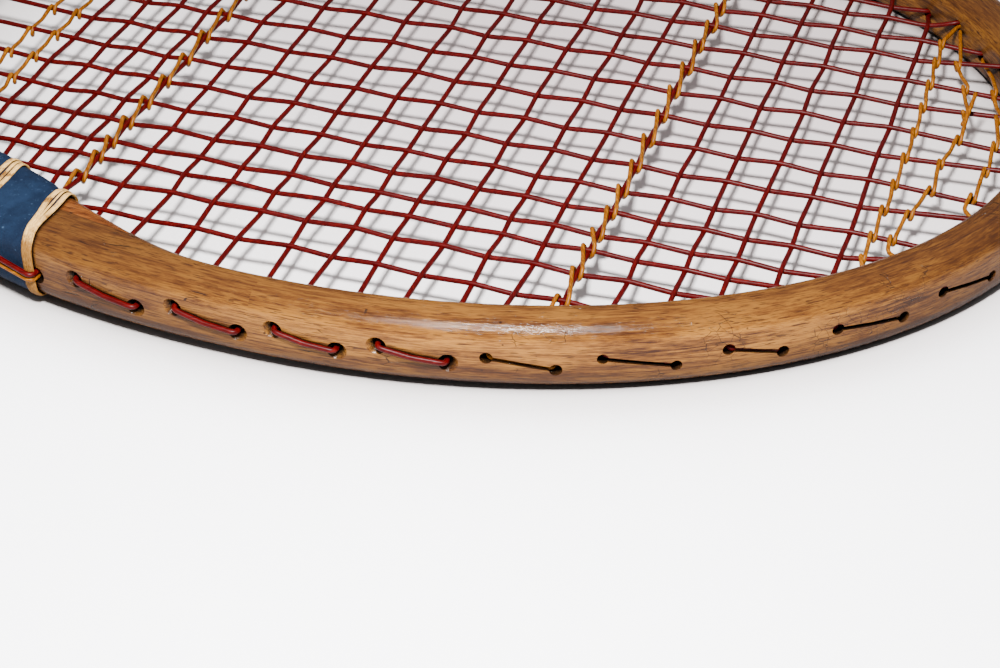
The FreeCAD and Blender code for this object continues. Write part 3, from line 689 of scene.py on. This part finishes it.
def add_mesh(name, vertices, faces, uvs, material, covers):
    """A smooth-shaded mesh that rides on the racket and stands for the CAD nodes it covers."""
    mesh = bpy.data.meshes.new(name)
    mesh.from_pydata(vertices, [], faces)
    layer = mesh.uv_layers.new(name="along")
    layer.data.foreach_set("uv", [value for uv in uvs for value in uv])
    mesh.materials.append(material)
    mesh.validate()
    mesh.shade_smooth()
    made = bpy.data.objects.new(name, mesh)
    bpy.context.scene.collection.objects.link(made)
    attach(made, "root")
    if covers:
        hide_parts(*covers)


# ---- the weave ----
weave_bend = 0.36                # corner height of a path where two strings cross
string_radius = 0.61
gold_radius = 0.5
kink_radius = 26.0
mouth_radius = 4.0
link_radius = 1.3                # of the bends outside the frame
edge_clearance = 2.5
groove_gap = -1.25               # of the main string outside its holes
draw = random.Random(7)
shifts = {}
for number in range(last_cross + 1):
    for main in range(last_main + 1):
        for side in (1, -1):
            shifts[number, main, side] = (draw.uniform(-0.28, 0.28), draw.uniform(-0.25, 0.25))


def weave_sign(number, main, side):
    order = last_main - main if side > 0 else last_main + 1 + main
    return 1 if (number + order) % 2 == 0 else -1


def crossed(number, main):
    x, y = cross_places[number], main_offsets[main]
    return inner_y(x) > y and inner_throat_x(y) + 1 < x < inner_tip_x(y) - edge_clearance


def near_edge(number, main):
    return inner_y(cross_places[number]) - main_offsets[main] < edge_clearance


def meeting(number, main, side, height):
    dx, dy = shifts[number, main, side]
    return Vector((cross_places[number] + dx, main_offsets[main] * side + dy, height))


def main_corners(main, side):
    throat, tip = main_hole("throat", main, side), main_hole("tip", main, side)
    corners = [(throat.mouth(1), mouth_radius)]
    for number in range(last_cross + 1):
        if crossed(number, main):
            sign = weave_sign(number, main, side)
            if near_edge(number, main):
                sign = -1 if cross_hole(number, side).inside.z > 0 else 1
            corners.append((meeting(number, main, side, sign * weave_bend), kink_radius))
    return corners + [(tip.mouth(1), mouth_radius)]


def cross_place(number):
    return -1 if number >= first_shared or number == first_staggered else 1


def cross_corners(number):
    place = cross_place(number)
    corners = [(cross_hole(number, -1).mouth(place), mouth_radius)]
    for side, mains in ((-1, range(last_main, -1, -1)), (1, range(last_main + 1))):
        for main in mains:
            if crossed(number, main) and not near_edge(number, main):
                sign = -weave_sign(number, main, side)
                corners.append((meeting(number, main, side, sign * weave_bend), kink_radius))
    return corners + [(cross_hole(number, 1).mouth(place), mouth_radius)]


def string_ends(hole, place):
    return [(hole.at(-1.5, place), 3.0)]


def outside_gap(number):
    """How far the cross string stands off the frame between this cross and the next."""
    if number < last_over_binding:
        return 1.25
    if number == last_over_binding:
        return 1.75
    return 0.42 if number <= last_countersunk else -1.35


def main_path():
    order = [(main, 1) for main in range(last_main, -1, -1)]
    order += [(main, -1) for main in range(last_main + 1)]
    corners = string_ends(main_hole("throat", last_main, 1), 1)
    for (main, side), following in zip(order, order[1:] + [None]):
        to_tip = (main % 2 == 0) == (side > 0)
        end = "tip" if to_tip else "throat"
        leg = main_corners(main, side)
        corners += leg if to_tip else leg[::-1]
        here = main_hole(end, main, side)
        if following is None:
            return corners + string_ends(here, 1)
        corners.append((here.at(groove_gap, 1), link_radius))
        corners.append((main_hole(end, *following).at(groove_gap, 1), link_radius))


def cross_path():
    corners = string_ends(cross_hole(0, 1), 1)
    for number in range(last_cross + 1):
        leg = cross_corners(number)
        to_right = number % 2 == 0
        corners += leg[::-1] if to_right else leg
        side = -1 if to_right else 1
        here = cross_hole(number, side)
        if number == last_cross:
            return corners + string_ends(here, cross_place(number))
        there = cross_hole(number + 1, side)
        gap = outside_gap(number)
        first, last = here.at(gap, cross_place(number)), there.at(gap, cross_place(number + 1))
        corners.append((first, link_radius))
        if last_over_binding < number <= last_countersunk:
            # the string bows out and sags a little between its two countersinks
            outward = (here.direction + there.direction).normalized()
            corners.append((first.lerp(last, 0.5) + outward * 0.25 - up * 0.35, 12.0))
        corners.append((last, link_radius))


tube("main_string_red", resampled(rounded(main_path()), 2.0), string_radius, red_gut,
     ["main_string"], 10, uneven=0.05)
tube("cross_string_red", resampled(rounded(cross_path()), 2.0), string_radius, red_gut,
     ["cross_string"], 10, uneven=0.05)


# ---- gold strings ----
def hitch(x, y, z, reach_x, reach_y, high, low):
    """One turn round a main: over it, under it on a slant, and over it again."""
    return [(Vector((x + reach_x, y + 0.2, z + high)), 0.8),
            (Vector((x + reach_x, y - reach_y, z)), 0.9),
            (Vector((x, y, z - low)), 1.2),
            (Vector((x - reach_x, y + reach_y, z)), 0.9),
            (Vector((x - reach_x, y - 0.2, z + high)), 0.8)]


def signed_mains(count):
    inner = main_offsets[:count]
    return inner[::-1] + [-y for y in inner]


def wrap_path(number, start_number):
    """Gold string wound along a cross from its left hole to the right, then to the next hole."""
    left, right = cross_hole(number, 1), cross_hole(number, -1)
    other = cross_hole(start_number, -1)
    corners = string_ends(left, -1) + [(left.mouth(-1), 3.0)]
    count = len([main for main in range(last_main + 1)
                 if crossed(number, main) and not near_edge(number, main)])
    previous = None
    for y in signed_mains(count):
        side = 1 if y > 0 else -1
        main = main_offsets.index(abs(y))
        dx, dy = shifts[number, main, side]
        x, y = cross_places[number] + dx, y + dy
        turn = hitch(x, y, 0.0, draw.uniform(1.05, 1.3), draw.uniform(1.2, 1.5), 1.55, 1.95)
        if previous is not None:
            halfway = (previous + turn[0][0]) / 2
            halfway.z = 1.1
            corners.append((halfway, 4.0))
        corners += turn
        previous = turn[-1][0]
    gap = outside_gap(min(number, start_number))
    corners.append((right.mouth(-1) - right.direction * 2.5 - Vector((0.9, 0, 0)), 2.0))
    corners.append((right.mouth(-1), 3.0))
    corners.append((right.at(gap, -1), link_radius))
    middle = right.at(gap, -1).lerp(other.at(gap, -1), 0.5)
    corners.append((middle - up * 0.25, 8.0))
    corners.append((other.at(gap, -1), link_radius))
    return corners + [(other.at(-4.0, -1), 3.0)]


def trim_path(start, turns, finish):
    """Gold string hitched across mains; start and finish are lists of corners."""
    corners = list(start)
    previous = None
    for y, x in turns:
        turn = hitch(x, y, 0.0, draw.uniform(0.42, 0.6), draw.uniform(0.95, 1.15), 1.3, 1.3)
        if previous is not None:
            halfway = (previous + turn[0][0]) / 2
            halfway.z = draw.uniform(0.2, 0.7)
            halfway.x += draw.uniform(-0.3, 0.3)
            corners.append((halfway, 5.0))
        corners += turn
        previous = turn[-1][0]
    return corners + list(finish)


def into(hole, shift=Vector((0.0, 0.0, 0.0))):
    """The last stretch of a trim string, into its hole or just beside a string that is in it."""
    return [(hole.mouth(-1) + shift, 3.0), (hole.at(-1.5, -1) + shift, 3.0)]


def gold(name, corners, covers):
    tube(name, resampled(rounded(corners), 0.8), gold_radius, gold_gut, covers, 10,
         uneven=0.10)


def even_trim(end, number, main, count, middle_x, edge_x):
    """A trim from a main's left hole to its right one, hitched to the mains in a shallow arc."""
    turns = [(y, middle_x + (edge_x - middle_x) * (y / main_offsets[4]) ** 2)
             for y in signed_mains(count)]
    corners = trim_path(into(main_hole(end, main, 1))[::-1], turns, into(main_hole(end, main, -1)))
    gold(f"{end}_trim_{number}_gold", corners, [f"{end}_trim_string_{number}"])


gold("head_wrap_gold", wrap_path(15, 14), ["head_wrap_string"])
gold("throat_wrap_gold", wrap_path(4, 5), ["throat_wrap_string"])
even_trim("tip", 1, 5, 5, 648.5, 647.3)
# the second trim is in two lengths, one with a cut tail that stands up
cut_end = [(Vector((658.4, 17.0, -1.0)), 1.0), (Vector((658.3, 14.2, -0.6)), 1.0)]
beside_first_trim = Vector((0.9, -0.5, -0.5))
gold("tip_trim_2_far_gold", trim_path(into(main_hole("tip", 5, 1), beside_first_trim)[::-1],
                                      [(39.5, 652.8), (28.6, 656.4), (17.5, 658.2)], cut_end),
     ["tip_trim_string_2"])
tail = [(Vector((659.9, 19.0, 5.4)), 1.0), (Vector((659.2, 12.5, 2.6)), 6.0)]
gold("tip_trim_2_near_gold", trim_path(tail, [(5.8, 658.8), (-5.8, 656.6), (-17.5, 656.6),
                                              (-28.6, 653.8), (-39.5, 652.0)],
                                       [(Vector((651.8, -44.5, 0.2)), 3.0)]
                                       + into(main_hole("tip", 4, -1))), [])
gold("tip_trim_3_gold", trim_path(into(main_hole("tip", 4, 1))[::-1]
                                  + [(Vector((661.5, 38.5, -0.9)), 3.0)],
                                  [(28.6, 663.2), (17.5, 665.9), (5.8, 667.1), (-5.8, 666.9),
                                   (-17.5, 665.8)],
                                  [(Vector((664.6, -22.8, 0.2)), 3.0)]
                                  + into(main_hole("tip", 2, -1))), ["tip_trim_string_3"])
even_trim("throat", 4, 6, 6, 438.7, 438.9)
even_trim("throat", 5, 5, 5, 431.7, 432.4)


# ---- whippings and cloth binding ----
edge_round = 4.5
binding_head_x = 482.0
throat_lean = 0.652
lean_centre_y = 70.0
binding_throat_x = 447.2
thread_gap = 0.55                # a whipping thread's middle stands this far off the frame


def section_point(x_of, side, turn, grow):
    """A point on the frame's rounded section, and its outward direction.

    x_of gives X from the distance across; turn runs from 0 to 1 round the section, starting in
    the middle of the inner side and going over the front.
    """
    inner = outer = 0.0
    x_in = x_out = x_of(90.0)
    for _ in range(6):
        inner = inner_y(x_in)
        outer = outer_y(x_out)
        x_in, x_out = x_of(inner), x_of(outer)
    bend = min(edge_round, (outer - inner) / 2 - 0.1)
    wide, high = outer - inner - 2 * bend, 2 * (face_height - bend)
    arc = bend * math.pi / 2
    runs = [high / 2, arc, wide, arc, high, arc, wide, arc, high / 2]
    left = turn * sum(runs)
    # the middle of the rounding walks along the straight runs and turns on the spot in the arcs
    across, height, facing = -wide / 2, 0.0, math.pi
    for index, run in enumerate(runs):
        step = min(left, run)
        left -= step
        if index % 2:
            facing -= step / bend
        else:
            across += step * math.sin(facing)
            height -= step * math.cos(facing)
    out, rise = math.cos(facing), math.sin(facing)
    y = (inner + outer) / 2 + across + out * (bend + grow)
    z = height + rise * (bend + grow)
    return Vector((x_of(y), y * side, z)), Vector((0.0, out * side, rise))


def band_line(x, lean):
    """X of a band against the distance across; a leaning band runs back as it goes out."""
    return lambda y: x - lean * (y - lean_centre_y)


def wound_thread(name, side, strands, lean, covers):
    """Flat threads beside each other round the frame; each is (X, width, spread, rise).

    The spread is how far a thread strays along the frame on its front.
    """
    for index, (x, width, spread, rise) in enumerate(strands):
        points = []
        steps = 96
        for k in range(steps):
            turn = k / steps
            front = math.exp(-((turn - 0.20) / 0.09) ** 2)
            line = band_line(x + spread * front, lean)
            points.append(section_point(line, side, turn, thread_gap + rise))
        normals = {tuple(place): normal for place, normal in points}
        tube(name + "_" + str(index + 1), [place for place, _ in points], width / 2, whipping,
             covers if index == 0 else (), 10, 0.42, True,
             lambda place: normals[tuple(place)], 0.12)


for side, word in ((1, "left"), (-1, "right")):
    wound_thread("head_whipping_thread_" + word, side,
                 [(481.3, 1.35, 0.55, 0.08), (480.0, 1.35, -1.0, 0.08), (480.7, 0.6, -0.1, 0.34)],
                 0.0, ["head_whipping_" + word])
    wound_thread("middle_whipping_thread_" + word, side,
                 [(466.1, 1.3, 0.3, 0.08), (464.9, 0.9, 0.1, 0.06), (463.8, 1.3, -0.4, 0.10)],
                 0.0, ["middle_whipping_" + word])
    wound_thread("throat_whipping_thread_" + word, side,
                 [(448.1, 1.2, 0.0, 0.08), (449.3, 1.1, 0.2, 0.12), (450.4, 1.1, -0.2, 0.08),
                  (451.4, 1.0, 0.2, 0.12)],
                 throat_lean, ["throat_whipping_" + word])


def cloth_sleeve(side, word):
    """Cloth tape wound round the shoulder with each turn lapping over the one before."""
    rows, around = 90, 120
    start = band_line(binding_throat_x, throat_lean)
    end = band_line(binding_head_x - 0.2, 0.0)
    vertices = []
    for i in range(rows + 1):
        u = i / rows

        def line(y):
            return start(y) * (1 - u) + end(y) * u

        for k in range(around):
            turn = k / around
            lap = (u * 3.2 + turn) % 1.0
            step = 0.42 * min(1.0, (1 - lap) * 9.0) * min(1.0, 0.35 + lap)
            place, normal = section_point(line, side, turn, 0.0)
            wave = noise.noise(place * 0.35) * 0.10 + noise.noise(place * 1.3) * 0.05
            rise = 0.14 + step + wave
            vertices.append((place + normal * max(0.06, rise)) * MM)
    faces, uvs = ring_faces([i / rows for i in range(rows + 1)], around)
    if side < 0:
        faces = [face[::-1] for face in faces]
        uvs = [uv for i in range(0, len(uvs), 4) for uv in uvs[i:i + 4][::-1]]
    add_mesh("cloth_binding_" + word, vertices, faces, uvs, binding_cloth,
             ["shoulder_binding_" + word])


cloth_sleeve(1, "left")
cloth_sleeve(-1, "right")


# ---- coverings of the handle ----
handle_half_width = 15.0
handle_half_depth = 13.2
handle_chamfer = 6.0
grip_start_x = 15.0
grip_end_x = 196.0
handle_girth = 90.0              # way round the leather, for the spacing of its small holes
strip_pitch = 23.0               # one turn of the leather strip
strip_lap = 0.10                 # share of its width that lies under the next turn
corner_power = 36.0              # higher is sharper


def octagon_radius(angle, half_width, half_depth, chamfer):
    """Distance from the axis to an eight-sided outline with softened corners."""
    slant = (half_width + half_depth - chamfer) / math.sqrt(2)
    total = 0.0
    for index in range(8):
        distance = slant if index % 2 else (half_width if index % 4 == 0 else half_depth)
        facing = math.cos(angle - index * math.pi / 4)
        if facing > 0:
            total += (facing / distance) ** corner_power
    return total ** (-1 / corner_power)


def grown(x, grow):
    """The handle's section at x, thicker all round by grow."""
    return (x, handle_half_width + grow, handle_half_depth + grow,
            handle_chamfer + grow * (2 - math.sqrt(2)))


def handle_point(angle, x, half_width, half_depth, chamfer):
    """A point on an eight-sided section."""
    radius = octagon_radius(angle, half_width, half_depth, chamfer)
    return Vector((x, radius * math.cos(angle), radius * math.sin(angle)))


def wrapped_grip():
    """A leather strip wound round the handle; each turn lies over the edge of the last."""
    shares = [0.0, 0.0, 0.012, 0.05, 0.12, 0.25, 0.42, 0.6, 0.78, 0.9, 0.97, 1.0 + strip_lap]
    rises = [0.85, 1.42, 1.55, 1.57, 1.50, 1.36, 1.28, 1.24, 1.20, 1.10, 0.95, 0.80]
    around = 96
    length = grip_end_x - grip_start_x
    columns = int((length / strip_pitch + 1 + strip_lap) * around) + 1
    vertices, faces, uvs = [], [], []
    for j in range(columns):
        turns = j / around
        for share, rise in zip(shares, rises):
            x = grip_start_x + (turns + share - 1 - strip_lap) * strip_pitch
            x = min(max(x, grip_start_x), grip_end_x)
            soft = noise.noise(Vector((x * 0.12, turns * 2.0, share))) * 0.05
            section = grown(x, rise + soft - 0.03)
            vertices.append(handle_point(2 * math.pi * turns, *section) * MM)
    rows = len(shares)
    for j in range(columns - 1):
        for i in range(rows - 1):
            corners = (j * rows + i, (j + 1) * rows + i, (j + 1) * rows + i + 1, j * rows + i + 1)
            if len({round(vertices[corner].x, 6) for corner in corners}) < 2:
                continue
            faces.append(corners)
            for column, row_index in ((j, i), (j + 1, i), (j + 1, i + 1), (j, i + 1)):
                uvs.append((column / around * handle_girth * MM,
                            shares[row_index] * strip_pitch * MM))
    add_mesh("wrapped_leather_grip", vertices, faces, uvs, grip_leather,
             ["leather_grip"])


def lathed_octagon(name, profile, closed_start, material, covers):
    """A ring round the handle; the profile is a list of (X, half width, half depth, chamfer)."""
    around = 128
    vertices = []
    for section in profile:
        for k in range(around):
            place = handle_point(2 * math.pi * k / around, *section)
            outward = Vector((0, place.y, place.z)).normalized()
            inward = (noise.noise(place * 0.25) - 1.0) * 0.03
            vertices.append((place + outward * inward) * MM)
    faces, uvs = ring_faces([i / len(profile) for i in range(len(profile))], around)
    faces = [(face[0],) + face[:0:-1] for face in faces]
    uvs = [uvs[i + corner] for i in range(0, len(uvs), 4) for corner in (0, 3, 2, 1)]
    if closed_start:
        faces.append(tuple(range(around)))
        uvs += [(0.0, k / around) for k in range(around)]
    add_mesh(name, vertices, faces, uvs, material, covers)


wrapped_grip()
lathed_octagon("collar_tape_ring",
               [grown(x, grow) for x, grow in
                ((195.9, 0.05), (195.9, 1.7), (196.2, 1.98), (197.4, 2.08), (199.6, 2.04),
                 (200.0, 1.80), (200.3, 1.78), (203.0, 1.86), (204.5, 1.74), (204.95, 1.4),
                 (205.0, 0.05))], False, collar_tape, ["grip_collar"])
lathed_octagon("butt_cap_leather",
               [(0.0, 14.0, 12.2, 5.0), (0.0, 16.2, 14.4, 6.0), (0.15, 17.0, 15.2, 6.0),
                (0.6, 17.7, 15.9, 6.0), (1.3, 18.1, 16.3, 6.0), (2.2, 18.2, 16.4, 6.0),
                (6.6, 18.2, 16.4, 6.0), (7.4, 18.1, 16.3, 6.0), (8.6, 17.8, 16.0, 6.2),
                (11.5, 17.2, 15.4, 6.6), (14.2, 16.8, 15.0, 6.95), (15.0, 16.6, 14.8, 7.0),
                (15.1, 15.0, 13.2, 6.0)],
               True, butt_leather, ["butt_cap"])


# ---- table ----
floor_low = -16.4                # height under the butt cap's rim
floor_start_x = 3.5
floor_rise = 0.01236             # it meets the tip, because the racket's own axis stays level
table_reach = 3000.0
shaded_place = Vector((575.0, 75.0, -8.0))      # painted shade: the table is painted darker here, inside the head
wide_shade_reach = 0.06
# reach of the painted contact shadow
contact_shadow_reach = 0.012


def table_height(x):
    return floor_low + floor_rise * (x - floor_start_x)


def make_table():
    """Pale table top; the racket leans on it with its butt and its tip."""
    mesh = bpy.data.meshes.new("table")
    corners = [(x * table_reach, y * table_reach) for x, y in ((-1, -1), (1, -1), (1, 1), (-1, 1))]
    mesh.from_pydata([Vector((x, y, table_height(x))) * MM for x, y in corners], [],
                     [(0, 1, 2, 3)])
    table = bpy.data.objects.new("table", mesh)
    bpy.context.scene.collection.objects.link(table)
    g = Graph("table_top")
    place = g.position()
    soft = g.noise(place, 0.006, 3.0)
    grain = g.noise(place, 1.6, 3.0)
    colour = g.mix(g.band(soft, 0.3, 0.7), (0.76, 0.77, 0.80), (0.80, 0.81, 0.84))
    # painted shade: darker and pinker towards the shaded place inside the head
    distance_to_shaded_place = g.distance(place, shaded_place)
    colour = g.mix(g.band(distance_to_shaded_place, 40.0, 215.0, 0.90, 0.0), colour, (0.29, 0.222, 0.235))
    shade = g.band(g.openness(wide_shade_reach, 8), 0.55, 1.0, 0.75, 0.0)
    colour = g.mix(shade, colour, (0.34, 0.31, 0.30))
    # painted shadow: near black where the racket comes close to the table
    contact_shadow = g.band(g.openness(contact_shadow_reach, 8), 0.05, 0.60, 0.92, 0.0)
    colour = g.mix(contact_shadow, colour, (0.020, 0.011, 0.007))
    bump = g.bump(grain, 0.15, 0.0001)
    g.shader(Base_Color=colour, Roughness=0.55, Normal=bump)
    mesh.materials.append(g.material)


make_table()


# ---- light and camera ----
key_direction = Vector((0.146, -0.473, 0.868)).normalized()
key_distance = 430
key_size = 0.047
key_power = 16.5
horizon = (0.05, (0.30, 0.31, 0.33, 1.0))
overhead = (0.75, (1.0, 0.96, 0.95, 1.0))
room_strength = 0.95
target = Vector((582.6, -98.7, 0.0))
azimuth = math.radians(18.84)
elevation = math.radians(36.89)
camera_distance = 453.2


def place_looking(name, data, place, direction):
    """Puts a light or a camera in the scene, looking along the direction."""
    made = bpy.data.objects.new(name, data)
    made.location = place * MM
    made.rotation_mode = "QUATERNION"
    made.rotation_quaternion = direction.to_track_quat("-Z", "Y")
    bpy.context.scene.collection.objects.link(made)
    return made


key = bpy.data.lights.new("key", "AREA")
key.shape = "RECTANGLE"
key.size = key.size_y = key_size
key.energy = key_power
key.color = (1.0, 0.985, 0.97)
place_looking("key", key, lit_point + key_direction * key_distance, -key_direction)

world = bpy.data.worlds.new("room")
bpy.context.scene.world = world
world.use_nodes = True
tree = world.node_tree
background = tree.nodes["Background"]
sky_place = tree.nodes.new("ShaderNodeTexCoord")
sky_split = tree.nodes.new("ShaderNodeSeparateXYZ")
sky = tree.nodes.new("ShaderNodeValToRGB")
tree.links.new(sky_place.outputs["Generated"], sky_split.inputs[0])
tree.links.new(sky_split.outputs[2], sky.inputs[0])
tree.links.new(sky.outputs[0], background.inputs[0])
for element, (place, colour) in zip(sky.color_ramp.elements, (horizon, overhead)):
    element.position = place
    element.color = colour
background.inputs[1].default_value = room_strength

back = Vector((math.sin(azimuth) * math.cos(elevation), -math.cos(azimuth) * math.cos(elevation),
               math.sin(elevation)))
lens = bpy.data.cameras.new("camera")
lens.lens = 80.0
lens.sensor_width = 36.0
lens.clip_start = 0.01
lens.clip_end = 20.0
bpy.context.scene.camera = place_looking("camera", lens, target + back * camera_distance, -back)
